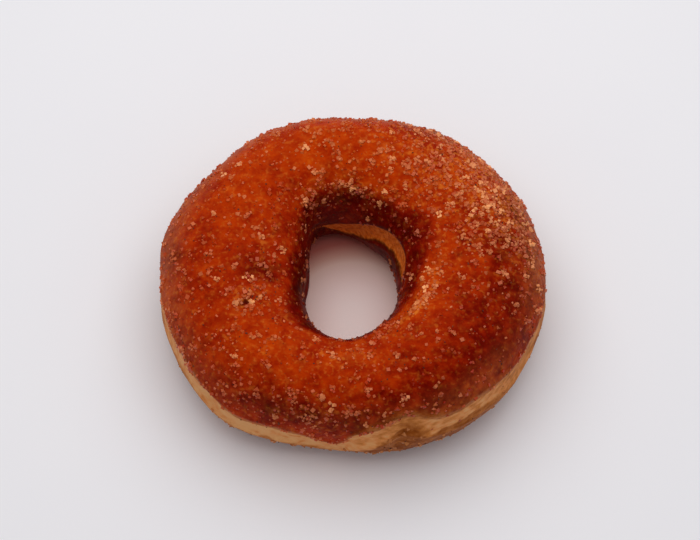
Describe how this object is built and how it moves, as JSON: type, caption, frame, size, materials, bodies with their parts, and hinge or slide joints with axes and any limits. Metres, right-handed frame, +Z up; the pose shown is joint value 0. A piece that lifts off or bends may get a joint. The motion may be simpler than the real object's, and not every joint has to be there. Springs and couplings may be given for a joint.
{
  "type": "cinnamon sugar ring doughnut",
  "caption": "Fried yeast-dough ring with an oval hole, a pale proof line round its side and cinnamon sugar crystals on its crust; rests flat on its underside.",
  "frame": {"origin": "middle of the ring's bounding box, on the surface that it rests on", "axes": "+X along the longest width, +Y towards the far side as pictured, +Z up through the hole"},
  "size_m": [0.0959, 0.0876, 0.0321],
  "materials": {
    "crust": "fried dough crust, orange-brown with a satin oily sheen, darker on the hole's wall and low sides, pale golden along the proof line",
    "sugar": "granulated sugar crystals tinted by cinnamon and frying fat, translucent, glinting",
    "cinnamon": "ground cinnamon specks, matt dark red-brown"
  },
  "bodies": {
    "root": {"doughnut": "crust"}
  },
  "joints": []
}
